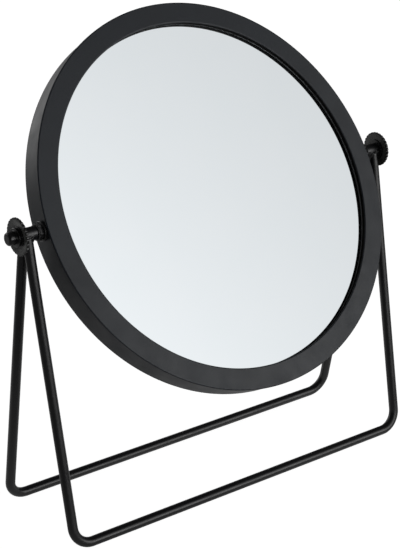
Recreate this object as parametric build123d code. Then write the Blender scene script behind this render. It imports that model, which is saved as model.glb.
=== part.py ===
from build123d import *
import math
import os

# Standing makeup mirror: a round mirror in a deep steel ring, hung between two
# U-shaped wire legs on threaded studs and clamped by knurled thumb nuts.
# Millimetres and degrees. The origin lies on the table under the tilt axis,
# +X runs along that axis, -Y is the side the user sits at and +Z is up.

# Pose at rest
pivot_height = 154.8        # tilt axis above the table
tilt = 31.9                 # how far the top of the mirror leans back
pivot_above_centre = 3.2    # tilt axis above the middle of the mirror

# Mirror frame: a deep drawn steel ring with a flat front flange
ring_radius = 100.0         # outside of the front flange
ring_depth = 15.2
pivot_depth = 6.6           # tilt axis behind the front of the flange
flange_thickness = 1.5
flange_overhang = 0.8       # flange beyond the band behind it
flange_width = 10.9         # from the free edge of the glass to the outside
flange_round = 0.6          # rounding of the flange's edges
band_wall = 1.0
lip_depth = 2.6             # inner lip, turned back towards the glass
lip_wall = 1.0
rear_edge_round = 0.35      # rounding of the band's rear edge

# Glass and what is packed behind it
gasket_thickness = 0.5
gasket_setback = 0.2        # rubber's free edge, in from the face of the lip
gasket_wall = 1.4           # rubber round the glass's edge
glass_thickness = 3.0
glass_play = 0.1            # between the glass's edge and the rubber
board_inset = 5.6           # edge of the board, in from the glass's edge
board_thickness = 3.0
pad_inset = 6.0             # edge of the foam, in from the board's edge

# Back cover and its four lugs
cover_thickness = 0.8
cover_setback = 1.8         # back of the cover, in from the band's rear edge
cover_play = 0.25           # round the cover, inside the band
lug_count = 4
lug_angle = 45.0            # first lug, from the tilt axis
lug_width = 10.0
lug_thickness = 1.2
lug_reach = 8.0             # how far a lug stands in from the band
lug_foot = 5.0              # length of its welded foot, along the band
screw_inset = 4.6           # cover screw, in from the inside of the band
screw_radius = 1.5
screw_length = 4.5          # below the head
screw_head_radius = 2.5
screw_head_height = 1.4
screw_slot_width = 0.7
screw_slot_depth = 0.6
screw_play = 0.15
thread_play = 0.03          # between the plain surfaces that stand for a thread

# Tilt axis, from the band outwards
stud_radius = 2.0
stud_play = 0.15            # round the stud in plain holes
stud_head_radius = 3.6
stud_head_height = 2.0
stud_head_room = 1.1        # from the head to the rubber round the glass
band_washer_gap = 0.2       # between the washer and the flange
band_washer_thickness = 1.5
lock_nut_across_flats = 7.2
lock_nut_height = 2.4
friction_washer_radius = 3.9
friction_washer_thickness = 0.3
sleeve_radius = 3.4
sleeve_length = 8.0
nut_washer_radius = 5.2
nut_washer_thickness = 0.5

# Thumb nut
disc_radius = 9.2
disc_thickness = 1.2
disc_bevel = 0.35
knurl_count = 28
knurl_radius = 0.6
knurl_depth = 0.45
hub_radius = 4.6
hub_length = 1.3
stem_radius = 3.3
stem_length = 4.2
stem_round = 0.7
cap_wall = 1.2              # closed end of the nut
stud_end_gap = 0.2          # between the stud and the closed end

# Wire legs
wire_radius = 2.5
bend_radius = 10.0          # middle of the wire, at the table
leg_flare = 2.3             # top of a leg, further out than its foot
foot_spread = 30.8          # foot from the tilt axis, to the front and to the back
leg_top_offset = 1.5        # middle of the wire from the tilt axis, at its height
leg_play = 0.3              # wire inside the outer end of the sleeve
wire_top_drop = 0.8         # end of the wire below the tilt axis
weld_gap = 0.02             # between the wire's end and the sleeve

# How far a cutting body runs past the face that it opens
cut_margin = 1.0

# Places that follow from the sizes above: the foam fills what is left of the depth
sight_radius = ring_radius - flange_width
band_radius = ring_radius - flange_overhang
band_inner = band_radius - band_wall
band_washer_radius = pivot_depth - flange_thickness - band_washer_gap
gasket_radius = band_inner - stud_head_height - stud_head_room
glass_radius = gasket_radius - gasket_wall - glass_play
board_radius = glass_radius - board_inset
pad_radius = board_radius - pad_inset
glass_front = lip_depth + gasket_thickness
glass_back = glass_front + glass_thickness
board_back = glass_back + board_thickness
cover_back = ring_depth - cover_setback
cover_front = cover_back - cover_thickness
washer_seat = band_radius
lock_nut_seat = washer_seat + band_washer_thickness
friction_seat = lock_nut_seat + lock_nut_height
sleeve_start = friction_seat + friction_washer_thickness
sleeve_end = sleeve_start + sleeve_length
disc_face = sleeve_end + nut_washer_thickness
hub_face = disc_face + disc_thickness
stem_face = hub_face + hub_length
nut_end = stem_face + stem_length
stud_end = nut_end - cap_wall - stud_end_gap
leg_top = sleeve_end - wire_radius - leg_play
foot_half_length = leg_top - leg_flare
screw_circle = band_inner - screw_inset


def polygon(points):
    """A closed flat face through (x, y) points."""
    with BuildSketch() as sketch:
        with BuildLine():
            Polyline(*points, close=True)
        make_face()
    return sketch.sketch


def rounded(profile, radius, *corners):
    """The profile with its corners at these points rounded."""
    chosen = [profile.vertices().sort_by_distance((x, y, 0))[0] for x, y in corners]
    return fillet(chosen, radius)


def turned(profile):
    """Turn a flat profile of (radius, depth) points about the mirror's own axis."""
    return revolve(profile, axis=Axis.Y, revolution_arc=360)


def in_head(part):
    """Seat a piece that is drawn about the mirror's own axis, front face at Y = 0."""
    seated = Pos(0, -pivot_depth, -pivot_above_centre) * part
    return on_tilt_axis(seated)


def on_tilt_axis(part):
    """Lean a piece back with the mirror and lift it to the tilt axis."""
    return Pos(0, 0, pivot_height) * Rot(-tilt, 0, 0) * part


def on_side(part, side):
    """Pieces of the tilt axis are drawn for the right; the left is half a turn away."""
    return part if side == "right" else Rot(0, 0, 180) * part


def rod(radius, start, end):
    """A round rod along +X between two distances from the middle."""
    length = end - start
    lying = Rot(0, 90, 0) * Cylinder(radius, length, align=(Align.CENTER, Align.CENTER, Align.MIN))
    return Pos(start, 0, 0) * lying


def washer(radius, start, thickness):
    """A flat ring round the stud."""
    end = start + thickness
    return rod(radius, start, end) - rod(stud_radius + stud_play, start - cut_margin, end + cut_margin)


def mirror_frame():
    """Flange, band and inner lip, drawn in one profile, with a stud hole on each side."""
    profile = polygon([
        (sight_radius, 0),
        (ring_radius, 0),
        (ring_radius, flange_thickness),
        (band_radius, flange_thickness),
        (band_radius, ring_depth),
        (band_inner, ring_depth),
        (band_inner, flange_thickness),
        (sight_radius + lip_wall, flange_thickness),
        (sight_radius + lip_wall, lip_depth),
        (sight_radius, lip_depth),
    ])
    profile = rounded(
        profile, flange_round, (sight_radius, 0), (ring_radius, 0), (ring_radius, flange_thickness))
    profile = rounded(profile, rear_edge_round, (band_radius, ring_depth), (band_inner, ring_depth))
    ring = turned(profile)
    hole = rod(stud_radius + stud_play, band_inner - cut_margin, band_radius + cut_margin)
    for side in ("left", "right"):
        ring -= Pos(0, pivot_depth, pivot_above_centre) * on_side(hole, side)
    return in_head(ring)


def glass_gasket():
    """Rubber angle ring: one leg behind the lip, the other round the edge of the glass."""
    inner = sight_radius + gasket_setback
    edge = glass_radius + glass_play
    return in_head(turned(polygon([
        (inner, lip_depth),
        (gasket_radius, lip_depth),
        (gasket_radius, glass_back),
        (edge, glass_back),
        (edge, glass_front),
        (inner, glass_front),
    ])))


def round_plate(radius, front, back):
    """A flat disc of the stack behind the lip, between two depths."""
    return in_head(turned(polygon([(0, front), (radius, front), (radius, back), (0, back)])))


def around_lugs(part):
    """Copies of a piece at the lugs, turned about the mirror's own axis."""
    step = 360 / lug_count
    return [Rot(0, -(lug_angle + step * index), 0) * part for index in range(lug_count)]


def screw_hole(radius, front, back):
    """A cutting rod at the first lug, through what lies between two depths."""
    length = back - front + 2 * cut_margin
    return Pos(screw_circle, (front + back) / 2, 0) * Rot(90, 0, 0) * Cylinder(radius, length)


def back_cover():
    """Flat steel disc inside the band, with a clearance hole at each lug."""
    cover = round_plate(band_inner - cover_play, cover_front, cover_back)
    for hole in around_lugs(screw_hole(screw_radius + screw_play, cover_front, cover_back)):
        cover -= in_head(hole)
    return cover


def cover_lugs():
    """Bent steel angles: the foot is welded inside the band, the other leg takes the screw."""
    outer = turned(polygon([
        (band_inner - lug_reach, cover_front - lug_thickness),
        (band_inner - lug_thickness, cover_front - lug_thickness),
        (band_inner - lug_thickness, cover_front - lug_foot),
        (band_inner, cover_front - lug_foot),
        (band_inner, cover_front),
        (band_inner - lug_reach, cover_front),
    ]))
    strip = Pos(band_inner, cover_front, 0) * Box(4 * lug_reach, 4 * lug_foot, lug_width)
    hole = screw_hole(screw_radius + thread_play, cover_front - lug_thickness, cover_front)
    return in_head(Compound(children=around_lugs((outer & strip) - hole)))


def cover_screws():
    """Slotted pan head screws through the cover into the lugs."""
    shank = Cylinder(screw_radius, screw_length, align=(Align.CENTER, Align.CENTER, Align.MAX))
    head = Cylinder(screw_head_radius, screw_head_height, align=(Align.CENTER, Align.CENTER, Align.MIN))
    head = fillet(head.edges().group_by(Axis.Z)[-1], screw_head_height / 2)
    slot = Pos(0, 0, screw_head_height) * Box(3 * screw_head_radius, screw_slot_width, 2 * screw_slot_depth)
    screw = Pos(screw_circle, cover_back, 0) * Rot(-90, 0, 0) * (shank + (head - slot))
    return in_head(Compound(children=around_lugs(screw)))


def pivot_stud():
    """Threaded stud with a round head inside the band, running out into the thumb nut."""
    reach = pivot_above_centre + stud_head_radius
    head_face = math.sqrt(band_inner ** 2 - reach ** 2)
    head = rod(stud_head_radius, head_face - stud_head_height, head_face)
    return head + rod(stud_radius, head_face, stud_end)


def lock_nut():
    """Hexagon nut that pulls the stud's head against the band."""
    hexagon = RegularPolygon(lock_nut_across_flats / 2, 6, major_radius=False)
    body = Pos(lock_nut_seat, 0, 0) * Rot(0, 90, 0) * extrude(hexagon, lock_nut_height)
    return body - rod(stud_radius + thread_play, lock_nut_seat - cut_margin, friction_seat + cut_margin)


def thumb_nut():
    """Turned nut: knurled disc, hub and closed stem, threaded from the inner face."""
    disc = rod(disc_radius, disc_face, hub_face)
    disc = chamfer(disc.edges(), disc_bevel)
    groove = rod(knurl_radius, disc_face - cut_margin, hub_face + cut_margin)
    groove = Pos(0, disc_radius + knurl_radius - knurl_depth, 0) * groove
    for index in range(knurl_count):
        disc -= Rot(360 / knurl_count * index, 0, 0) * groove
    hub = rod(hub_radius, hub_face, stem_face)
    stem = rod(stem_radius, stem_face, nut_end)
    stem = fillet(stem.edges().group_by(Axis.X)[-1], stem_round)
    bore = rod(stud_radius + thread_play, disc_face - cut_margin, nut_end - cap_wall)
    return disc + hub + stem - bore


def leg_wire(front):
    """One U-shaped wire: up from the sleeve's underside, along the table and up again."""
    path = FilletPolyline(
        (-leg_top, leg_top_offset, pivot_height),
        (-foot_half_length, foot_spread, wire_radius),
        (foot_half_length, foot_spread, wire_radius),
        (leg_top, leg_top_offset, pivot_height),
        radius=bend_radius,
    )
    section = Plane(origin=path @ 0, z_dir=path % 0) * Circle(wire_radius)
    wire = sweep(section, path=path)
    half_width = leg_top + wire_radius + cut_margin
    depth = foot_spread + wire_radius + cut_margin
    wire &= Box(
        2 * half_width, depth, pivot_height - wire_top_drop,
        align=(Align.CENTER, Align.MIN, Align.MIN))
    seat = rod(sleeve_radius + weld_gap, sleeve_start - cut_margin, sleeve_end + cut_margin)
    for side in ("left", "right"):
        wire -= Pos(0, 0, pivot_height) * on_side(seat, side)
    return Rot(0, 0, 180) * wire if front else wire


nodes = {
    "front_leg_wire": leg_wire(front=True),
    "rear_leg_wire": leg_wire(front=False),
    "mirror_frame": mirror_frame(),
    "glass_gasket": glass_gasket(),
    "mirror_glass": round_plate(glass_radius, glass_front, glass_back),
    "backing_board": round_plate(board_radius, glass_back, board_back),
    "foam_pad": round_plate(pad_radius, board_back, cover_front),
    "back_cover": back_cover(),
    "cover_lugs": cover_lugs(),
    "cover_screws": cover_screws(),
}

axis_pieces = {
    "pivot_stud": pivot_stud(),
    "band_washer": washer(band_washer_radius, washer_seat, band_washer_thickness),
    "lock_nut": lock_nut(),
    "friction_washer": washer(friction_washer_radius, friction_seat, friction_washer_thickness),
    "pivot_sleeve": washer(sleeve_radius, sleeve_start, sleeve_length),
    "nut_washer": washer(nut_washer_radius, sleeve_end, nut_washer_thickness),
    "thumb_nut": thumb_nut(),
}
for side in ("left", "right"):
    for name, piece in axis_pieces.items():
        nodes[side + "_" + name] = on_tilt_axis(on_side(piece, side))

os.makedirs("parts", exist_ok=True)
for name, piece in nodes.items():
    export_step(piece, "parts/" + name + ".step")
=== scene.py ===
from math import cos, hypot, pi, radians, sin, sqrt, tan

import bmesh
import bpy
from mathutils import Matrix, Vector


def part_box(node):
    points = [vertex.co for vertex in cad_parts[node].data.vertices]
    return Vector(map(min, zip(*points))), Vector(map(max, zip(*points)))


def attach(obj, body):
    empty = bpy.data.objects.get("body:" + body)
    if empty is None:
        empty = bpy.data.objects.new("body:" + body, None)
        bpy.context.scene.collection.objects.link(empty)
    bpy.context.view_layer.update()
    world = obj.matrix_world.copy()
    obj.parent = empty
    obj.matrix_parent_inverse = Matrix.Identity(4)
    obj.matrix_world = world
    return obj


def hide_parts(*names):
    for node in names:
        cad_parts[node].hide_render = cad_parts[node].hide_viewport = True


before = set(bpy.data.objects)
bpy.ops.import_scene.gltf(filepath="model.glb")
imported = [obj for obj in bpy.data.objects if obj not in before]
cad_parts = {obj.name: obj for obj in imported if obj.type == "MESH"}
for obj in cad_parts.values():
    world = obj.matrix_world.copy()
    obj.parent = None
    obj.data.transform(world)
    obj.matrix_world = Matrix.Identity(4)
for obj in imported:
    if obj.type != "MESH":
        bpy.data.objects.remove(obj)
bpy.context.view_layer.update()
MM = 0.001


# Wire legs: two U-shaped lengths of 5 mm round steel wire, bent cold over a
# 10 mm roller at the table and satin black powder coated after welding. Their
# upper ends lean together and are welded under the pivot sleeves.

wire_radius = 2.5
wire_bend = 10.0
wire_top = 108.6             # middle of the wire from the middle of the stand, at the axis
wire_top_offset = 1.5        # the same, to the front or back of the axis
foot_half_length = 106.3
foot_spread = 30.8
wire_end_drop = 5.0          # the bare wire stops here, inside the welded stub
doubles_apart = 0.002        # points nearer to each other than this are merged

axis_low, axis_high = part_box("right_pivot_sleeve")
axis_height = (axis_low[2] + axis_high[2]) / 2 / MM


def node(tree, kind, inputs=None, **settings):
    """A node of this kind with its settings; an input gets a plain value or another's output."""
    made = tree.nodes.new(kind)
    for name, value in settings.items():
        setattr(made, name, value)
    for name, value in (inputs or {}).items():
        if isinstance(value, bpy.types.NodeSocket):
            tree.links.new(value, made.inputs[name])
        else:
            made.inputs[name].default_value = value
    return made


def calculate(tree, operation, *terms):
    """A sum on outputs of nodes and plain numbers."""
    return node(tree, "ShaderNodeMath", dict(enumerate(terms)), operation=operation).outputs[0]


def shape_tree(name, sizes):
    """An empty geometry tree with one named input for each size, and a material."""
    tree = bpy.data.node_groups.new(name, "GeometryNodeTree")
    tree.interface.new_socket("Geometry", in_out="INPUT", socket_type="NodeSocketGeometry")
    for label, kind in sizes.items():
        tree.interface.new_socket(label, in_out="INPUT", socket_type="NodeSocket" + kind)
    tree.interface.new_socket("Finish", in_out="INPUT", socket_type="NodeSocketMaterial")
    tree.interface.new_socket("Geometry", in_out="OUTPUT", socket_type="NodeSocketGeometry")
    return tree, tree.nodes.new("NodeGroupInput").outputs


def rounded(tree, given, steps):
    """The given curve with each corner rounded by its own radius, in this many steps."""
    return node(tree, "GeometryNodeFilletCurve", {
        "Curve": given["Geometry"], "Count": steps, "Limit Radius": True,
        "Radius": node(tree, "GeometryNodeInputRadius").outputs[0]}, mode="POLY").outputs[0]


def merged(tree, shape):
    """The shape with its double points merged."""
    return node(tree, "GeometryNodeMergeByDistance", {
        0: shape, "Distance": doubles_apart * MM}).outputs[0]


def close_tree(tree, given, shape, crease=35):
    """Realize, merge the doubles, keep creases sharp and set the finish, as the last steps."""
    realized = node(tree, "GeometryNodeRealizeInstances", {0: shape}).outputs[0]
    smooth = node(tree, "GeometryNodeSetShadeSmooth", {
        0: merged(tree, realized), "Shade Smooth": True})
    flat_enough = node(tree, "FunctionNodeCompare", {
        "A": node(tree, "GeometryNodeInputMeshEdgeAngle").outputs["Unsigned Angle"],
        "B": radians(crease)}, operation="LESS_THAN")
    creased = node(tree, "GeometryNodeSetShadeSmooth", {
        0: smooth.outputs[0], "Shade Smooth": flat_enough.outputs[0]}, domain="EDGE")
    finished = node(tree, "GeometryNodeSetMaterial", {
        0: creased.outputs[0], "Material": given["Finish"]})
    node(tree, "NodeGroupOutput", {0: finished.outputs[0]})


def shown(name, data):
    """A new object in the scene."""
    made = bpy.data.objects.new(name, data)
    bpy.context.collection.objects.link(made)
    return made


def baked(draft):
    """The plain mesh that a draft's modifiers make; the draft itself goes."""
    seen = bpy.context.evaluated_depsgraph_get()
    mesh = bpy.data.meshes.new_from_object(draft.evaluated_get(seen), depsgraph=seen)
    bpy.data.objects.remove(draft)
    return mesh


def made_by(tree, name, source, sizes, place=None):
    """Run a geometry tree on a curve, and keep the result as a plain mesh object."""
    draft = shown(name + "_draft", source)
    modifier = draft.modifiers.new("shape", "NODES")
    modifier.node_group = tree
    sockets = {item.name: item.identifier for item in tree.interface.items_tree
               if item.in_out == "INPUT"}
    for label, value in sizes.items():
        modifier[sockets[label]] = value
    mesh = baked(draft)
    if place is not None:
        mesh.transform(place)
    mesh.name = name
    return shown(name, mesh)


def line(points, closed=False):
    """A poly curve through points in millimetres; a fourth number is that corner's rounding."""
    curve = bpy.data.curves.new("line", "CURVE")
    curve.dimensions = "3D"
    spline = curve.splines.new("POLY")
    spline.points.add(len(points) - 1)
    for point, (x, y, z, *rounding) in zip(spline.points, points):
        point.co = (x * MM, y * MM, z * MM, 1)
        point.radius = rounding[0] * MM if rounding else 0
    spline.use_cyclic_u = closed
    return curve


def fixed(piece, body, cad_node):
    """Fasten a piece to its body and hide the CAD node that it stands for."""
    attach(piece, body)
    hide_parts(cad_node)


def coat(name, colour, roughness, specular=0.5, metallic=0.0):
    """A new material with its tree, its surface shader and its object coordinates."""
    material = bpy.data.materials.new(name)
    material.use_nodes = True
    tree = material.node_tree
    surface = tree.nodes["Principled BSDF"]
    surface.inputs["Base Color"].default_value = (*colour, 1)
    surface.inputs["Roughness"].default_value = roughness
    surface.inputs["Specular IOR Level"].default_value = specular
    surface.inputs["Metallic"].default_value = metallic
    return material, tree, surface, node(tree, "ShaderNodeTexCoord").outputs["Object"]


def dress(tree, surface, colour, roughness=None, normal=None):
    """Give a surface its colour pattern and, where it has them, its gloss and its bump."""
    for label, pattern in (("Base Color", colour), ("Roughness", roughness), ("Normal", normal)):
        if pattern is not None:
            tree.links.new(pattern, surface.inputs[label])


def grain(tree, where, size, detail=3, rough=0.5):
    """Noise whose blotches are about this many millimetres across."""
    return node(tree, "ShaderNodeTexNoise", {
        "Vector": where, "Scale": 1 / (size * MM), "Detail": detail,
        "Roughness": rough}).outputs["Fac"]


def between(tree, value, low, high, start=0.3, end=0.7):
    """A value spread from start..end over low..high."""
    return node(tree, "ShaderNodeMapRange", {
        "Value": value, "From Min": start, "From Max": end,
        "To Min": low, "To Max": high}).outputs["Result"]


def two_tone(tree, value, dark, light, start=0.3, end=0.7):
    """A colour that runs from dark to light as the value rises."""
    ramp = node(tree, "ShaderNodeValToRGB", {"Fac": value})
    first, last = ramp.color_ramp.elements
    first.position, first.color = start, (*dark, 1)
    last.position, last.color = end, (*light, 1)
    return ramp.outputs["Color"]


def relief(tree, height, depth, strength=1.0, under=None):
    """Bump of this many millimetres, on top of any bump under it."""
    bump = node(tree, "ShaderNodeBump", {
        "Height": height, "Distance": depth * MM, "Strength": strength})
    if under is not None:
        tree.links.new(under, bump.inputs["Normal"])
    return bump.outputs["Normal"]


def powder_coat(name, dark, light, roughness, peel_depth):
    """Baked powder paint: soft pebbled peel, a finer dry grain and a faint drift of tone."""
    material, tree, surface, where = coat(name, dark, roughness)
    drift = grain(tree, where, 26, 2)
    fleck = grain(tree, where, 0.45, 2)
    speckled = calculate(tree, "MULTIPLY_ADD", fleck, 0.35, 0.35)
    tone = calculate(tree, "MULTIPLY_ADD", drift, 0.5, speckled)
    peel = relief(tree, grain(tree, where, 1.1, 2, 0.45), peel_depth, 0.55)
    dress(tree, surface,
          two_tone(tree, tone, dark, light, 0.55, 0.95),
          between(tree, grain(tree, where, 9, 3), roughness - 0.05, roughness + 0.06),
          relief(tree, fleck, peel_depth * 0.35, 0.45, peel))
    return material


stand_paint = powder_coat("stand_paint", dark=(0.004, 0.004, 0.0045), light=(0.009, 0.009, 0.0105),
                          roughness=0.32, peel_depth=0.03)

bent_wire, given = shape_tree("bent wire", {
    "Wire radius": "Float", "Sides": "Int", "Bend steps": "Int"})
route_of_wire = node(bent_wire, "GeometryNodeSetCurveRadius", {
    "Curve": rounded(bent_wire, given, given["Bend steps"]), "Radius": 1.0})
section_of_wire = node(bent_wire, "GeometryNodeCurvePrimitiveCircle", {
    "Resolution": given["Sides"], "Radius": given["Wire radius"]})
close_tree(bent_wire, given, node(bent_wire, "GeometryNodeCurveToMesh", {
    "Curve": route_of_wire.outputs[0], "Profile Curve": section_of_wire.outputs[0],
    "Fill Caps": True}).outputs[0])

top_share = wire_end_drop / (axis_height - wire_radius)
end_x = wire_top - (wire_top - foot_half_length) * top_share
end_y = wire_top_offset + (foot_spread - wire_top_offset) * top_share
for name, way in (("front_leg_wire", -1), ("rear_leg_wire", 1)):
    route = line([
        (-end_x, way * end_y, axis_height - wire_end_drop),
        (-foot_half_length, way * foot_spread, wire_radius, wire_bend),
        (foot_half_length, way * foot_spread, wire_radius, wire_bend),
        (end_x, way * end_y, axis_height - wire_end_drop),
    ])
    wire = made_by(bent_wire, name + "_bent", route, {
        "Wire radius": wire_radius * MM, "Sides": 40, "Bend steps": 20, "Finish": stand_paint})
    fixed(wire, "stand", name)


# Pivot sleeves: short steel tubes across the tops of the legs. Each is welded to
# both wires with a small bead, ground lightly and painted over, so tube, bead
# and wire ends run into one another under the coat.

sleeve_radius = (axis_high[2] - axis_low[2]) / 2 / MM
sleeve_start = axis_low[0] / MM
sleeve_end = axis_high[0] / MM
sleeve_bore = 2.15
bore_past_end = 1.0
stub_start = 1.1             # down the wire from the axis, inside the tube
stub_length = 9.0
stub_play = 0.02             # the welded stub stands this much proud of the bare wire
bead_radius = 0.8
bead_step = 0.5
weld_grid = 0.16             # the grid on which tube, stubs and beads are fused
weld_passes = 16
core = 1.0                   # radius of the guiding circle; outlines are drawn from it
beside_corner = 0.06         # past a rounded corner, the outline's next point


def turned_surface(tree, given):
    """Sweep a flat outline of (radius, distance) round the axis; corners are rounded first."""
    circle = node(tree, "GeometryNodeCurvePrimitiveCircle", {
        "Radius": core * MM, "Resolution": given["Segments"]})
    return node(tree, "GeometryNodeCurveToMesh", {
        "Curve": circle.outputs[0], "Profile Curve": rounded(tree, given, given["Corner steps"]),
        "Fill Caps": False}).outputs[0]


def outline(points, closed=True):
    """An outline of (radius, distance, rounding), with a point close to each side of a corner."""
    full = []
    for index, (radius, distance, *rounding) in enumerate(points):
        if not rounding:
            full.append((radius - core, distance, 0, 0))
            continue
        here = Vector((radius, distance))
        to_before = (Vector(points[index - 1][:2]) - here).normalized()
        to_after = (Vector(points[(index + 1) % len(points)][:2]) - here).normalized()
        reach = rounding[0] / tan(to_before.angle(to_after) / 2) + beside_corner
        before, after = here + to_before * reach, here + to_after * reach
        for spot, corner in ((before, 0), (here, rounding[0]), (after, 0)):
            full.append((spot.x - core, spot.y, 0, corner))
    return line(full, closed)


def on_axis(side, tilt):
    """Where a piece turned about the tilt axis goes, on the right or on the left."""
    outwards = Matrix.Rotation(radians(-90), 4, "Y")
    if side == "left":
        outwards = Matrix.Rotation(pi, 4, "Z") @ outwards
    return (Matrix.Translation((0, 0, axis_height * MM))
            @ Matrix.Rotation(radians(-tilt), 4, "X") @ outwards)


def leg_line(way):
    """The top and foot of the front or rear wire's middle line from the axis, and its direction."""
    top = Vector((wire_top, way * wire_top_offset, 0))
    foot = Vector((foot_half_length, way * foot_spread, wire_radius - axis_height))
    return top, foot, (top - foot).normalized()


def weld_points(way):
    """Points along the seam where one wire's surface meets the underside of the sleeve."""
    foot, along = leg_line(way)[1:]
    across = along.cross(Vector((1, 0, 0))).normalized()
    points = []
    steps = int(2 * pi * wire_radius / bead_step)
    for index in range(steps):
        turn = 2 * pi * index / steps
        start = foot + Vector((cos(turn), 0, 0)) * wire_radius + across * sin(turn) * wire_radius
        # The line along the wire's surface from here meets the sleeve's circle.
        a = along.y ** 2 + along.z ** 2
        b = start.y * along.y + start.z * along.z
        c = start.y ** 2 + start.z ** 2 - sleeve_radius ** 2
        inside = b * b - a * c
        if inside > 0:
            points.append(start + along * ((-b - sqrt(inside)) / a))
    return points


def add_rod(joint, start, end, radius, sides):
    """Add a closed round rod between two points."""
    turn = (end - start).to_track_quat("Z", "Y").to_matrix().to_4x4()
    bmesh.ops.create_cone(
        joint, cap_ends=True, segments=sides, radius1=radius, radius2=radius,
        depth=(end - start).length, matrix=Matrix.Translation((start + end) / 2) @ turn)


turned_shape, given = shape_tree("turned", {"Segments": "Int", "Corner steps": "Int"})
close_tree(turned_shape, given, turned_surface(turned_shape, given))

for side in ("left", "right"):
    joint = bmesh.new()
    add_rod(joint, Vector((sleeve_start, 0, 0)), Vector((sleeve_end, 0, 0)), sleeve_radius, sides=64)
    for way in (-1, 1):
        top, _, along = leg_line(way)
        add_rod(joint, top - along * stub_length, top - along * stub_start,
                wire_radius + stub_play, sides=48)
        for point in weld_points(way):
            bmesh.ops.create_icosphere(
                joint, subdivisions=2, radius=bead_radius, matrix=Matrix.Translation(point))
    bmesh.ops.scale(joint, vec=(MM, MM, MM), verts=joint.verts)
    loose_weld = bpy.data.meshes.new("weld")
    joint.to_mesh(loose_weld)
    joint.free()
    draft = shown("weld_draft", loose_weld)
    fuse = draft.modifiers.new("fuse", "REMESH")
    fuse.mode = "VOXEL"
    fuse.voxel_size = weld_grid * MM
    fuse.use_smooth_shade = True
    soften = draft.modifiers.new("soften", "SMOOTH")
    soften.factor = 0.5
    soften.iterations = weld_passes
    bore = made_by(turned_shape, "bore", outline([
        (0, sleeve_start - bore_past_end), (sleeve_bore, sleeve_start - bore_past_end),
        (sleeve_bore, sleeve_end + bore_past_end), (0, sleeve_end + bore_past_end),
    ], closed=False), {"Segments": 48, "Corner steps": 1}, Matrix.Rotation(radians(-90), 4, "Y"))
    drill = draft.modifiers.new("drill", "BOOLEAN")
    drill.object = bore
    drill.solver = "EXACT"
    welded = baked(draft)
    bpy.data.objects.remove(bore)
    to_side = Matrix.Rotation(pi, 4, "Z") if side == "left" else Matrix.Identity(4)
    welded.transform(Matrix.Translation((0, 0, axis_height * MM)) @ to_side)
    welded.shade_smooth()
    welded.materials.clear()
    welded.materials.append(stand_paint)
    fixed(shown(side + "_welded_sleeve", welded), "stand", side + "_pivot_sleeve")


# Mirror frame: one ring drawn from 1 mm sheet steel and powder coated matte black,
# with a flat flange in front, a deep band crimped just behind it, and a short lip
# turned back at the glass, painted near black as the shade in that recess.

tilt = 31.9
pivot_above_centre = 3.2
pivot_depth = 6.6
ring_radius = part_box("mirror_frame")[1][0] / MM
flange_width = 10.9
flange_thickness = 1.5
flange_overhang = 0.8
flange_round = 0.6
ring_depth = 15.2
band_wall = 1.0
band_edge_round = 0.35
lip_depth = 2.6
lip_wall = 1.0
groove_width = 1.0           # the crimped line round the band
groove_depth = 0.55
stud_hole = 2.15
punch_past_ring = 2.0
hole_margin = 3.5            # the band's mesh has a row of points each side of the stud holes
lip_shade_edge = 0.2            # the painted shade reaches up to here outside the sight circle
lip_shade_start = 0.5           # and starts from here behind the face

sight_radius = ring_radius - flange_width
band_radius = ring_radius - flange_overhang
band_inner = band_radius - band_wall
groove_bottom = band_radius - groove_depth
groove_end = flange_thickness + groove_width
in_head = (Matrix.Translation((0, 0, axis_height * MM)) @ Matrix.Rotation(radians(-tilt), 4, "X")
           @ Matrix.Translation((0, -pivot_depth * MM, -pivot_above_centre * MM))
           @ Matrix.Rotation(radians(90), 4, "X"))


def cut_away(tree, shape, tool):
    """A swept shape with a tool's shape cut out of it."""
    return node(tree, "GeometryNodeMeshBoolean", {
        "Mesh 1": merged(tree, shape), "Mesh 2": tool},
        operation="DIFFERENCE", solver="EXACT").outputs["Mesh"]


frame_paint = powder_coat("frame_paint", dark=(0.005, 0.0078, 0.0125), light=(0.01, 0.0148, 0.022),
                          roughness=0.42, peel_depth=0.03)

drawn_ring, given = shape_tree("drawn ring", {
    "Segments": "Int", "Corner steps": "Int", "Hole radius": "Float", "Hole length": "Float",
    "Hole place": "Vector"})
punch_rod = node(drawn_ring, "GeometryNodeMeshCylinder", {
    "Vertices": 48, "Radius": given["Hole radius"], "Depth": given["Hole length"]})
punch_across = node(drawn_ring, "GeometryNodeTransform", {
    "Geometry": punch_rod.outputs["Mesh"], "Rotation": (0, pi / 2, 0),
    "Translation": given["Hole place"]})
close_tree(drawn_ring, given, cut_away(
    drawn_ring, turned_surface(drawn_ring, given), punch_across.outputs[0]))

ring = made_by(drawn_ring, "mirror_frame_drawn", outline([
    (sight_radius, 0, flange_round),
    (ring_radius, 0, flange_round),
    (ring_radius, flange_thickness, flange_round * 0.6),
    (groove_bottom, flange_thickness, 0.1),
    (groove_bottom, groove_end, 0.1),
    (band_radius, groove_end + 0.2, 0.15),
    (band_radius, pivot_depth - hole_margin),
    (band_radius, pivot_depth + hole_margin),
    (band_radius, ring_depth, band_edge_round),
    (band_inner, ring_depth, band_edge_round),
    (band_inner, pivot_depth + hole_margin),
    (band_inner, pivot_depth - hole_margin),
    (band_inner, flange_thickness, 0.3),
    (sight_radius + lip_wall, flange_thickness, 0.2),
    (sight_radius + lip_wall, lip_depth, 0.3),
    (sight_radius, lip_depth, 0.3),
]), {"Segments": 288, "Corner steps": 6, "Finish": frame_paint,
     "Hole radius": stud_hole * MM, "Hole length": 2 * (ring_radius + punch_past_ring) * MM,
     "Hole place": (0, pivot_above_centre * MM, -pivot_depth * MM)}, in_head)

# The lip's faces get a near-black finish of their own: painted shade for the recess between the face
# and the glass.
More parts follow.
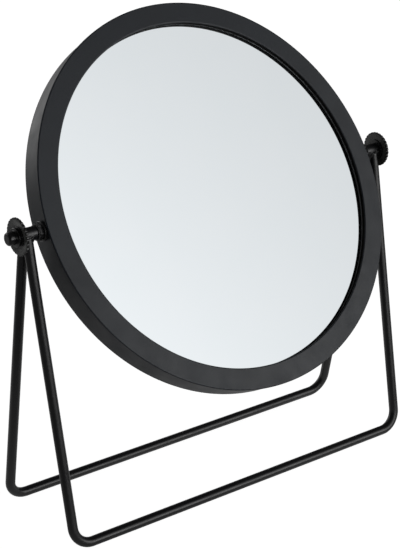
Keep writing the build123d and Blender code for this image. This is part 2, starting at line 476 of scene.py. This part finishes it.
painted_lip_shade, tree, surface, where = coat("painted_lip_shade", (0.003, 0.003, 0.003), 0.8, 0.12)
thin = grain(tree, where, 3)
dress(tree, surface, two_tone(tree, thin, (0.002, 0.002, 0.002), (0.005, 0.005, 0.005)))
ring.data.materials.clear()
ring.data.materials.append(frame_paint)
ring.data.materials.append(painted_lip_shade)
back_to_flat = in_head.inverted()
for face in ring.data.polygons:
    spot = back_to_flat @ face.center / MM
    on_the_lip = hypot(spot.x, spot.y) < sight_radius + lip_shade_edge and spot.z < -lip_shade_start
    face.material_index = 1 if on_the_lip else 0
fixed(ring, "mirror_head", "mirror_frame")


# Mirror glass and its gasket: 3 mm float glass with ground edges, silvered and
# backed with grey paint, in an angle ring of grey rubber that seats on the lip.
# The silver is shown on the front of the glass.

glass_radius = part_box("mirror_glass")[1][0] / MM
glass_front = 3.1
glass_back = 6.1
arris = 0.4                  # ground edge of the glass
flat_facing = 0.99           # faces that look this squarely forwards or back are the flat ones
gasket_back = 0.2            # the gasket's edge stands this far back from the lip's
gasket_play = 0.1
gasket_reach = 1.5           # out from the glass

silver, tree, surface, where = coat("silvered_glass", (0.86, 0.9, 0.925), 0.0, metallic=1.0)
haze = grain(tree, where, 30)
dress(tree, surface, two_tone(tree, haze, (0.855, 0.9, 0.925), (0.865, 0.905, 0.93)))

ground, tree, surface, where = coat("ground_glass_edge", (0.32, 0.45, 0.4), 0.45)
frost = grain(tree, where, 0.12, 2)
dress(tree, surface,
      two_tone(tree, frost, (0.24, 0.38, 0.33), (0.4, 0.52, 0.47)),
      normal=relief(tree, frost, 0.02, 0.6))

backing, tree, surface, where = coat("mirror_back_paint", (0.2, 0.21, 0.22), 0.55)
streaks = node(tree, "ShaderNodeMapping", {"Vector": where, "Scale": (1, 9, 9)})
flow = grain(tree, streaks.outputs["Vector"], 14, 4)
dress(tree, surface,
      two_tone(tree, flow, (0.17, 0.18, 0.19), (0.25, 0.26, 0.27)),
      normal=relief(tree, flow, 0.03, 0.4))

glass = made_by(turned_shape, "mirror_glass_silvered", outline([
    (0, glass_front), (glass_radius - arris, glass_front), (glass_radius, glass_front + arris),
    (glass_radius, glass_back - arris), (glass_radius - arris, glass_back), (0, glass_back),
], closed=False), {"Segments": 192, "Corner steps": 1, "Finish": silver}, in_head)
glass.data.materials.append(ground)
glass.data.materials.append(backing)
towards_user = (in_head.to_3x3() @ Vector((0, 0, 1))).normalized()
for face in glass.data.polygons:
    facing = face.normal.dot(towards_user)
    face.material_index = 0 if facing > flat_facing else 2 if facing < -flat_facing else 1
fixed(glass, "mirror_head", "mirror_glass")

rubber, tree, surface, where = coat("gasket_rubber", (0.24, 0.24, 0.245), 0.7, 0.3)
bloom = grain(tree, where, 4, 4)
dress(tree, surface,
      two_tone(tree, bloom, (0.19, 0.19, 0.195), (0.29, 0.29, 0.295)),
      normal=relief(tree, grain(tree, where, 0.25), 0.03, 0.5))
gasket = made_by(turned_shape, "glass_gasket_rubber", outline([
    (sight_radius + gasket_back, lip_depth, 0.12),
    (glass_radius + gasket_reach, lip_depth, 0.4),
    (glass_radius + gasket_reach, glass_back, 0.2),
    (glass_radius + gasket_play, glass_back, 0.2),
    (glass_radius + gasket_play, glass_front),
    (sight_radius + gasket_back, glass_front, 0.12),
]), {"Segments": 192, "Corner steps": 4, "Finish": rubber}, in_head)
fixed(gasket, "mirror_head", "glass_gasket")


# Backing board and foam: a disc of brown hardboard behind the glass, and a disc of
# grey foam sheet that the cover squeezes against it, so that nothing rattles.

board_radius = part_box("backing_board")[1][0] / MM
board_back = 9.1
board_edge_round = 0.3
pad_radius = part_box("foam_pad")[1][0] / MM
pad_bulge = 0.8
foam_cell = 0.9
cover_front = 12.6

hardboard, tree, surface, where = coat("hardboard", (0.28, 0.18, 0.1), 0.6)
fibre = node(tree, "ShaderNodeMapping", {
    "Vector": where, "Rotation": (0, 0, 0.6), "Scale": (1, 3, 3)})
fibres = grain(tree, fibre.outputs["Vector"], 1.2, 5, 0.65)
dress(tree, surface,
      two_tone(tree, fibres, (0.17, 0.1, 0.05), (0.36, 0.25, 0.15)),
      between(tree, fibres, 0.5, 0.75),
      relief(tree, fibres, 0.06, 0.5))
board = made_by(turned_shape, "backing_board_cut", outline([
    (0, glass_back), (board_radius, glass_back, board_edge_round),
    (board_radius, board_back, board_edge_round), (0, board_back),
], closed=False), {"Segments": 144, "Corner steps": 3, "Finish": hardboard}, in_head)
fixed(board, "mirror_head", "backing_board")

foam, tree, surface, where = coat("foam", (0.09, 0.09, 0.095), 0.9, 0.2)
cells = node(tree, "ShaderNodeTexVoronoi", {"Vector": where, "Scale": 1 / (foam_cell * MM)})
cell_wall = cells.outputs["Distance"]
dress(tree, surface,
      two_tone(tree, cell_wall, (0.05, 0.05, 0.054), (0.13, 0.13, 0.136), 0.1, 0.8),
      normal=relief(tree, cell_wall, 0.25, 0.8))
pad = made_by(turned_shape, "foam_pad_sheet", outline([
    (0, board_back), (pad_radius - pad_bulge, board_back, 0.4),
    (pad_radius, (board_back + cover_front) / 2, 1.2),
    (pad_radius - pad_bulge, cover_front, 0.4), (0, cover_front),
], closed=False), {"Segments": 144, "Corner steps": 4, "Finish": foam}, in_head)
fixed(pad, "mirror_head", "foam_pad")


# Back cover: a flat disc of 0.8 mm sheet steel inside the band, blanked and
# deburred, powder coated like the frame, with a hole over each of the four lugs.

cover_play = 0.25
cover_radius = band_inner - cover_play
cover_back = 13.4
cover_rim = 8.0              # the cover's mesh has a row of points this far in
screw_inset = 4.6
screw_circle = band_inner - screw_inset
lug_count = 4
first_lug = 45.0
screw_hole = 1.65
punch_length = 4.0

cover_paint = powder_coat("cover_paint", dark=(0.005, 0.0078, 0.0125), light=(0.011, 0.0158, 0.023),
                          roughness=0.46, peel_depth=0.035)


def round_the_circle(tree, count, circle, first, depth):
    """Points spaced evenly round a circle, the first at an angle, all at a depth."""
    places = node(tree, "GeometryNodeMeshCircle", {"Vertices": count, "Radius": circle})
    spin = node(tree, "ShaderNodeCombineXYZ", {"Z": first})
    drop = node(tree, "ShaderNodeCombineXYZ", {"Z": depth})
    return node(tree, "GeometryNodeTransform", {
        "Geometry": places.outputs[0], "Rotation": spin.outputs[0],
        "Translation": drop.outputs[0]}).outputs[0]


blanked, given = shape_tree("blanked disc", {
    "Segments": "Int", "Corner steps": "Int", "Holes": "Int", "Hole circle": "Float",
    "Hole radius": "Float", "First hole": "Float", "Hole depth": "Float"})
disc_punch = node(blanked, "GeometryNodeMeshCylinder", {
    "Vertices": 40, "Depth": punch_length * MM, "Radius": given["Hole radius"]})
punches = node(blanked, "GeometryNodeInstanceOnPoints", {
    "Points": round_the_circle(blanked, given["Holes"], given["Hole circle"],
                               given["First hole"], given["Hole depth"]),
    "Instance": disc_punch.outputs["Mesh"]})
all_punches = node(blanked, "GeometryNodeRealizeInstances", {0: punches.outputs[0]})
close_tree(blanked, given, cut_away(
    blanked, turned_surface(blanked, given), all_punches.outputs[0]))

cover = made_by(blanked, "back_cover_sheet", outline([
    (0, cover_front), (cover_radius - cover_rim, cover_front), (cover_radius, cover_front, 0.15),
    (cover_radius, cover_back, 0.25), (cover_radius - cover_rim, cover_back), (0, cover_back),
], closed=False), {"Segments": 192, "Corner steps": 4, "Holes": lug_count,
                   "Hole circle": screw_circle * MM, "Hole radius": screw_hole * MM,
                   "First hole": radians(first_lug), "Hole depth": -cover_back * MM,
                   "Finish": cover_paint}, in_head)
fixed(cover, "mirror_head", "back_cover")


# Cover lugs and screws: bent angles of zinc plated steel, welded inside the band,
# and black slotted pan head screws that hold the cover to them.

screw_radius = 1.5
screw_length = 4.5
point_width = 0.35
point_length = 0.5
head_radius = 2.5
head_height = 1.4
slot_width = 0.7
slot_depth = 0.6

zinc, tree, surface, where = coat("bare_steel", (0.5, 0.5, 0.5), 0.38, metallic=1.0)
spangle = grain(tree, where, 2.2, 4)
dress(tree, surface,
      two_tone(tree, spangle, (0.42, 0.43, 0.44), (0.6, 0.6, 0.6)),
      between(tree, spangle, 0.3, 0.48),
      relief(tree, grain(tree, where, 0.3), 0.01, 0.5))
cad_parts["cover_lugs"].data.materials.clear()
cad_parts["cover_lugs"].data.materials.append(zinc)

screw_black, tree, surface, where = coat("screw_black", (0.03, 0.03, 0.032), 0.33, metallic=0.6)
mottle = grain(tree, where, 0.8)
dress(tree, surface,
      two_tone(tree, mottle, (0.02, 0.02, 0.022), (0.05, 0.05, 0.054)),
      between(tree, mottle, 0.26, 0.42))

slotted, given = shape_tree("slotted screws", {
    "Segments": "Int", "Corner steps": "Int", "Screws": "Int", "Screw circle": "Float",
    "First screw": "Float", "Seat": "Float", "Slot size": "Vector", "Slot place": "Vector",
    "Seed": "Int"})
slot_cutter = node(slotted, "GeometryNodeMeshCube", {"Size": given["Slot size"]})
slot_in_head = node(slotted, "GeometryNodeTransform", {
    "Geometry": slot_cutter.outputs["Mesh"], "Translation": given["Slot place"]})
stopped_at = node(slotted, "FunctionNodeRandomValue", {
    2: 0.0, 3: pi, "Seed": given["Seed"]}, data_type="FLOAT")
slot_turn = node(slotted, "ShaderNodeCombineXYZ", {"Z": stopped_at.outputs[1]})
close_tree(slotted, given, node(slotted, "GeometryNodeInstanceOnPoints", {
    "Points": round_the_circle(slotted, given["Screws"], given["Screw circle"],
                               given["First screw"], given["Seat"]),
    "Instance": cut_away(slotted, turned_surface(slotted, given), slot_in_head.outputs[0]),
    "Rotation": slot_turn.outputs[0]}).outputs[0])

screws = made_by(slotted, "cover_screws_driven", outline([
    (0, -screw_length), (screw_radius - point_width, -screw_length, 0.1),
    (screw_radius, point_length - screw_length, 0.1), (screw_radius, 0),
    (head_radius, 0, 0.15), (head_radius, head_height, 0.9), (0, head_height),
], closed=False), {"Segments": 48, "Corner steps": 5, "Screws": lug_count,
                   "Screw circle": screw_circle * MM, "First screw": radians(first_lug),
                   "Seat": -cover_back * MM, "Seed": 4, "Finish": screw_black,
                   "Slot size": (3 * head_radius * MM, slot_width * MM, 2 * slot_depth * MM),
                   "Slot place": (0, 0, -head_height * MM)}, in_head)
fixed(screws, "mirror_head", "cover_screws")


# Pivot studs: M4 steel screws with a round head inside the band. They run out
# through the band, its washer, the lock nut and the sleeve into the thumb nut.

stud_radius = 2.0
stud_head_radius = 3.6
stud_head_height = 2.0
stud_chamfer = 0.4
thread_pitch = 0.7
thread_depth = 0.38
thread_rows = 8              # rows of points to one turn of the thread
crest_flat = 0.2             # the V's tip and root are cut off by these shares of its depth
root_flat = 0.1


def round_the_axis(tree):
    """Each point's radius, angle and distance along the axis, and its bare coordinates."""
    place = node(tree, "ShaderNodeSeparateXYZ", {
        0: node(tree, "GeometryNodeInputPosition").outputs[0]}).outputs
    x, y, z = place
    squares = calculate(tree, "ADD", calculate(tree, "MULTIPLY", x, x),
                        calculate(tree, "MULTIPLY", y, y))
    radius = calculate(tree, "MAXIMUM", calculate(tree, "SQRT", squares), 0.0001 * MM)
    return radius, calculate(tree, "ARCTAN2", y, x), calculate(tree, "MULTIPLY", z, -1.0), place


def cut_to(tree, shape, limit, radius, place):
    """Bring every point that stands out past the limit in to it, towards the axis."""
    share = calculate(tree, "MINIMUM", 1.0, calculate(tree, "DIVIDE", limit, radius))
    x, y, z = place
    moved = node(tree, "ShaderNodeCombineXYZ", {
        "X": calculate(tree, "MULTIPLY", x, share), "Y": calculate(tree, "MULTIPLY", y, share),
        "Z": z})
    return node(tree, "GeometryNodeSetPosition", {
        "Geometry": shape, "Position": moved.outputs[0]}).outputs[0]


threaded, given = shape_tree("threaded rod", {
    "Segments": "Int", "Corner steps": "Int", "Radius": "Float", "Pitch": "Float",
    "Depth": "Float", "Thread start": "Float"})
radius, angle, distance, place = round_the_axis(threaded)
lead = calculate(threaded, "DIVIDE", distance, given["Pitch"])
phase = calculate(threaded, "FRACT", calculate(
    threaded, "SUBTRACT", lead, calculate(threaded, "DIVIDE", angle, 2 * pi)))
flank = calculate(threaded, "ABSOLUTE", calculate(threaded, "MULTIPLY_ADD", phase, 2.0, -1.0))
groove = calculate(threaded, "MULTIPLY", given["Depth"], calculate(
    threaded, "MULTIPLY_ADD", flank, 1 + crest_flat + root_flat, -crest_flat))
before_thread = calculate(threaded, "LESS_THAN", distance, given["Thread start"])
crest = calculate(threaded, "SUBTRACT", given["Radius"], calculate(
    threaded, "MINIMUM", calculate(threaded, "MAXIMUM", groove, 0.0), given["Depth"]))
thread_limit = calculate(threaded, "ADD", crest, before_thread)
close_tree(threaded, given, cut_to(
    threaded, turned_surface(threaded, given), thread_limit, radius, place), crease=50)

steel, tree, surface, where = coat("stud_steel", (0.5, 0.5, 0.5), 0.32, metallic=1.0)
tarnish = grain(tree, where, 1.5, 4)
dress(tree, surface,
      two_tone(tree, tarnish, (0.4, 0.4, 0.41), (0.58, 0.58, 0.57)),
      between(tree, tarnish, 0.24, 0.42))

stud_low, stud_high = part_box("right_pivot_stud")
head_back = stud_low[0] / MM
head_face = head_back + stud_head_height
stud_end = stud_high[0] / MM
thread_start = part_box("right_lock_nut")[0][0] / MM
row = thread_pitch / thread_rows
rows = int((stud_end - stud_chamfer - thread_start) / row)
stud_outline = [
    (0, head_back), (stud_head_radius, head_back, 0.5), (stud_head_radius, head_face, 0.2),
    (stud_radius, head_face),
    *((stud_radius, thread_start + row * index) for index in range(rows)),
    (stud_radius, stud_end - stud_chamfer), (stud_radius - stud_chamfer, stud_end), (0, stud_end)]
for side in ("left", "right"):
    stud = made_by(threaded, side + "_stud_threaded", outline(stud_outline, closed=False), {
        "Segments": 32, "Corner steps": 3, "Radius": stud_radius * MM,
        "Pitch": thread_pitch * MM, "Depth": thread_depth * MM,
        "Thread start": thread_start * MM, "Finish": steel}, on_axis(side, tilt))
    fixed(stud, "mirror_head", side + "_pivot_stud")


# Washers: a thick steel one on the band, a thin nylon one that the sleeve rubs on,
# and a thin steel one under the thumb nut. Blanked, so one edge is rounder.

washer_hole = 2.15

gloss_black, tree, surface, where = coat("gloss_black", (0.02, 0.02, 0.021), 0.3)
cloud = grain(tree, where, 3)
dress(tree, surface,
      two_tone(tree, cloud, (0.012, 0.012, 0.013), (0.026, 0.026, 0.028)),
      between(tree, cloud, 0.16, 0.28),
      relief(tree, grain(tree, where, 0.5, 2), 0.012, 0.5))

nylon, tree, surface, where = coat("nylon", (0.03, 0.03, 0.03), 0.5, 0.4)
milky = grain(tree, where, 1.6)
dress(tree, surface,
      two_tone(tree, milky, (0.02, 0.02, 0.02), (0.045, 0.045, 0.045)),
      between(tree, milky, 0.4, 0.6))

for side in ("left", "right"):
    for name, rounding, body, slot, finish in (
            ("band_washer", 0.35, "mirror_head", "hardware_black", gloss_black),
            ("friction_washer", 0.1, "mirror_head", "nylon", nylon),
            ("nut_washer", 0.15, side + "_clamp_washer", "hardware_black", gloss_black)):
        low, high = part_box("right_" + name)
        start, end, rim = low[0] / MM, high[0] / MM, (high[1] - low[1]) / 2 / MM
        washer = made_by(turned_shape, side + "_" + name + "_blanked", outline([
            (washer_hole, start, rounding * 0.3), (rim, start, rounding * 0.5),
            (rim, end, rounding), (washer_hole, end, rounding * 0.3),
        ]), {"Segments": 96, "Corner steps": 5, "Finish": finish}, on_axis(side, tilt))
        fixed(washer, body, side + "_" + name)


# Lock nuts: thin M4 hexagon nuts, 7.2 mm across the flats, chamfered on both
# faces and blacked. They pull the stud's head up against the band.

across_flats = 7.2
corner_radius = across_flats / sqrt(3)
corner_chamfer = 0.32
face_edge = 0.1              # the flat face ends this much inside the flats
nut_bore = 2.03
bore_chamfer = 0.3

hexagon, given = shape_tree("hexagon nut", {
    "Segments": "Int", "Corner steps": "Int", "Across flats": "Float"})
radius, angle, distance, place = round_the_axis(hexagon)
side_share = calculate(hexagon, "FRACT", calculate(hexagon, "DIVIDE", angle, pi / 3))
from_flat = calculate(hexagon, "MULTIPLY_ADD", side_share, pi / 3, -pi / 6)
flat_limit = calculate(hexagon, "DIVIDE", calculate(
    hexagon, "MULTIPLY", given["Across flats"], 0.5), calculate(hexagon, "COSINE", from_flat))
close_tree(hexagon, given, cut_to(
    hexagon, turned_surface(hexagon, given), flat_limit, radius, place), crease=40)

low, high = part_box("right_lock_nut")
start, end = low[0] / MM, high[0] / MM
for side in ("left", "right"):
    lock_nut = made_by(hexagon, side + "_lock_nut_chamfered", outline([
        (nut_bore, start + bore_chamfer), (nut_bore + bore_chamfer, start),
        (across_flats / 2 - face_edge, start), (corner_radius, start + corner_chamfer),
        (corner_radius, end - corner_chamfer), (across_flats / 2 - face_edge, end),
        (nut_bore + bore_chamfer, end), (nut_bore, end - bore_chamfer),
    ]), {"Segments": 96, "Corner steps": 1, "Across flats": across_flats * MM,
         "Finish": gloss_black}, on_axis(side, tilt))
    fixed(lock_nut, "mirror_head", side + "_lock_nut")


# Thumb nuts: turned from brass bar and blacked. A thin knurled disc to grip, a
# stepped hub and a closed stem with a rounded end. The face of the disc is dished,
# with painted shade round the hub and a painted highlight on the ring beyond it.

disc_radius = 9.2
disc_thickness = 1.2
disc_edge_round = 0.35
disc_rim = 1.3               # the flat rim round the dish
dish_depth = 0.3
disc_back_row = 1.2          # the disc's back has a row of points this far in from its edge
knurl_count = 28
knurl_radius = 0.6
knurl_depth = 0.45
entry_chamfer = 0.35
blind_end = 1.9              # the bore's full width stops this far from the end
drill_point = 1.2            # and its point this far
hub_radius = 4.6
hub_length = 1.3
hub_fillet = 0.7
stem_radius = 3.3
stem_round = 1.2
hub_shade_to, lit_ring_from = 5.4, 6.1        # the painted shade round the hub fades into the painted highlight ring
lit_ring_to, rim_from = 8.2, 8.7         # and that ring into the dark rim
turning_marks = 0.32                 # to a millimetre

knurled, given = shape_tree("knurled nut", {
    "Segments": "Int", "Corner steps": "Int", "Grooves": "Int", "Groove radius": "Float",
    "Groove circle": "Float"})
radius, angle, distance, place = round_the_axis(knurled)
share = calculate(knurled, "DIVIDE", calculate(
    knurled, "MULTIPLY", angle, given["Grooves"]), 2 * pi)
from_groove = calculate(knurled, "SUBTRACT", calculate(
    knurled, "FRACT", calculate(knurled, "ADD", share, 0.5)), 0.5)
swing = calculate(knurled, "DIVIDE", calculate(
    knurled, "MULTIPLY", from_groove, 2 * pi), given["Grooves"])
aside = calculate(knurled, "MULTIPLY", given["Groove circle"], calculate(knurled, "SINE", swing))
ahead = calculate(knurled, "MULTIPLY", given["Groove circle"], calculate(knurled, "COSINE", swing))
depth = calculate(knurled, "SQRT", calculate(knurled, "MAXIMUM", 0.0, calculate(
    knurled, "SUBTRACT",
    calculate(knurled, "MULTIPLY", given["Groove radius"], given["Groove radius"]),
    calculate(knurled, "MULTIPLY", aside, aside))))
knurl_limit = calculate(knurled, "SUBTRACT", ahead, depth)
close_tree(knurled, given, cut_to(
    knurled, turned_surface(knurled, given), knurl_limit, radius, place), crease=38)

turned_black, tree, surface, where = coat("turned_black", (0.014, 0.014, 0.015), 0.26)
cloud = grain(tree, where, 2.5)
centred = node(tree, "ShaderNodeMapping", {
    "Vector": where, "Location": (0, 0, -axis_height * MM)}).outputs["Vector"]
flattened = node(tree, "ShaderNodeMapping", {"Vector": centred, "Scale": (0, 1, 1)})
from_axis = node(tree, "ShaderNodeVectorMath", {
    0: flattened.outputs["Vector"]}, operation="LENGTH").outputs["Value"]
# Painted light and shade on the face: near black round the hub as its shade, lighter on the ring
# beyond as a painted highlight, dark again at the rim.
painted_light_share = calculate(tree, "MULTIPLY",
                 between(tree, from_axis, 0.0, 1.0, hub_shade_to * MM, lit_ring_from * MM),
                 between(tree, from_axis, 1.0, 0.1, lit_ring_to * MM, rim_from * MM))
painted_light_mix = node(tree, "ShaderNodeMix", {
    "Factor": painted_light_share,
    6: two_tone(tree, cloud, (0.002, 0.002, 0.0025), (0.005, 0.005, 0.0055)),
    7: two_tone(tree, cloud, (0.06, 0.061, 0.058), (0.1, 0.102, 0.098))}, data_type="RGBA")
turning = node(tree, "ShaderNodeTexWave", {
    "Vector": centred, "Scale": turning_marks / MM, "Distortion": 1.2, "Detail": 2.0,
    "Detail Scale": 3.0}, wave_type="RINGS", rings_direction="X")
dress(tree, surface, painted_light_mix.outputs[2], between(tree, cloud, 0.2, 0.34),
      relief(tree, turning.outputs["Fac"], 0.012, 0.5))

low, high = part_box("right_thumb_nut")
disc_face, nut_end = low[0] / MM, high[0] / MM
rim_face = disc_face + disc_thickness
dish_face = rim_face - dish_depth
stem_face = rim_face + hub_length
for side in ("left", "right"):
    thumb_nut = made_by(knurled, side + "_thumb_nut_turned", outline([
        (0, nut_end - drill_point), (nut_bore, nut_end - blind_end),
        (nut_bore, disc_face + entry_chamfer), (nut_bore + entry_chamfer, disc_face),
        (disc_radius - disc_back_row, disc_face), (disc_radius, disc_face, disc_edge_round),
        (disc_radius, rim_face, disc_edge_round), (disc_radius - disc_rim, rim_face, 0.3),
        (hub_radius + hub_fillet, dish_face, 0.25), (hub_radius, dish_face - 0.05, 0.15),
        (hub_radius, stem_face, 0.35), (stem_radius, stem_face, 0.2),
        (stem_radius, nut_end, stem_round), (0, nut_end),
    ], closed=False), {"Segments": 336, "Corner steps": 5, "Grooves": knurl_count,
                       "Groove radius": knurl_radius * MM,
                       "Groove circle": (disc_radius + knurl_radius - knurl_depth) * MM,
                       "Finish": turned_black}, on_axis(side, tilt))
    fixed(thumb_nut, side + "_clamp_nut", side + "_thumb_nut")


# Floor, light and camera: a pale sweep under soft boxes in a dark studio, seen a
# little from the left and from above. The camera and the mirror see a pale wall,
# and black paint seen from behind catches a soft glow from the floor there.

floor_half = 6.0
floor_seen = 0.94
glow_place = (0.12, 0.34, 0)
glow_near, glow_far = 0.1, 0.5
glow_strong, glow_weak = 0.9, 0.05

pale_floor, tree, surface, where = coat("pale_floor", (0.5, 0.5, 0.5), 0.9, 0.0)
surface.inputs["Emission Color"].default_value = (1, 1, 1, 1)
floor_rays = node(tree, "ShaderNodeLightPath").outputs
clear = calculate(tree, "MAXIMUM", floor_rays["Is Camera Ray"], floor_rays["Is Transmission Ray"])
sharp = calculate(tree, "MAXIMUM", clear, floor_rays["Is Singular Ray"])
rough = calculate(tree, "MAXIMUM", floor_rays["Is Glossy Ray"], floor_rays["Is Diffuse Ray"])
from_glow = node(tree, "ShaderNodeVectorMath", {
    0: where, 1: glow_place}, operation="DISTANCE").outputs["Value"]
floor_glow = calculate(tree, "MULTIPLY", rough, between(
    tree, from_glow, glow_strong, glow_weak, glow_near, glow_far))
tree.links.new(
    calculate(tree, "MAXIMUM", calculate(tree, "MULTIPLY", sharp, floor_seen), floor_glow),
    surface.inputs["Emission Strength"])

sweep = bpy.data.meshes.new("floor")
corners = [(x * floor_half, y * floor_half, 0) for x, y in ((-1, -1), (1, -1), (1, 1), (-1, 1))]
sweep.from_pydata(corners, [], [(0, 1, 2, 3)])
sweep.materials.append(pale_floor)
shown("floor", sweep)

studio = bpy.data.worlds.new("studio")
bpy.context.scene.world = studio
studio.use_nodes = True
sky = studio.node_tree
background = sky.nodes["Background"]
toward = node(sky, "ShaderNodeTexCoord").outputs["Generated"]


def soft_box(azimuth, elevation, width, strength):
    """A soft patch of light on the studio wall; azimuth runs from -Y towards +X."""
    az, el = radians(azimuth), radians(elevation)
    aim = node(sky, "ShaderNodeVectorMath", {
        0: toward, 1: (sin(az) * cos(el), -cos(az) * cos(el), sin(el))}, operation="DOT_PRODUCT")
    narrow = 1 / radians(width) ** 2
    fall = calculate(sky, "MULTIPLY_ADD", aim.outputs["Value"], narrow, -narrow)
    return calculate(sky, "MULTIPLY", calculate(sky, "EXPONENT", fall), strength)


def wall(level, *boxes):
    """The plain studio wall at one level, with its soft boxes added."""
    for box in boxes:
        level = calculate(sky, "ADD", box, level)
    return level


def chosen(ray, otherwise, seen):
    """One level for rays of this kind and another for the rest."""
    return node(sky, "ShaderNodeMix", {"Factor": ray, 2: otherwise, 3: seen},
                data_type="FLOAT").outputs[0]


dark_studio = wall(0.06, soft_box(0, 4, 10, 2.8), soft_box(20, 4, 10, 2.8), soft_box(40, 4, 10, 2.0),
                   soft_box(40, 18, 10, 2.5), soft_box(-165, 6, 18, 1.85))
pale_wall = calculate(sky, "MINIMUM", wall(0.6, soft_box(11, 22, 20, 0.8)), 1.0)
sky_rays = node(sky, "ShaderNodeLightPath").outputs
bounced = chosen(sky_rays["Is Singular Ray"], dark_studio, pale_wall)
sky.links.new(chosen(sky_rays["Is Camera Ray"], bounced, 1.0), background.inputs["Strength"])
background.inputs["Color"].default_value = (1, 1, 1, 1)

lens = bpy.data.cameras.new("camera")
lens.sensor_width = 36
lens.lens = 103.84
lens.clip_end = 50
camera = shown("camera", lens)
camera.location = (-0.460589, -0.59323, 0.408165)
camera.rotation_euler = (radians(68.28), 0, radians(-37.39))
bpy.context.scene.camera = camera
bpy.context.scene.view_settings.view_transform = "Standard"
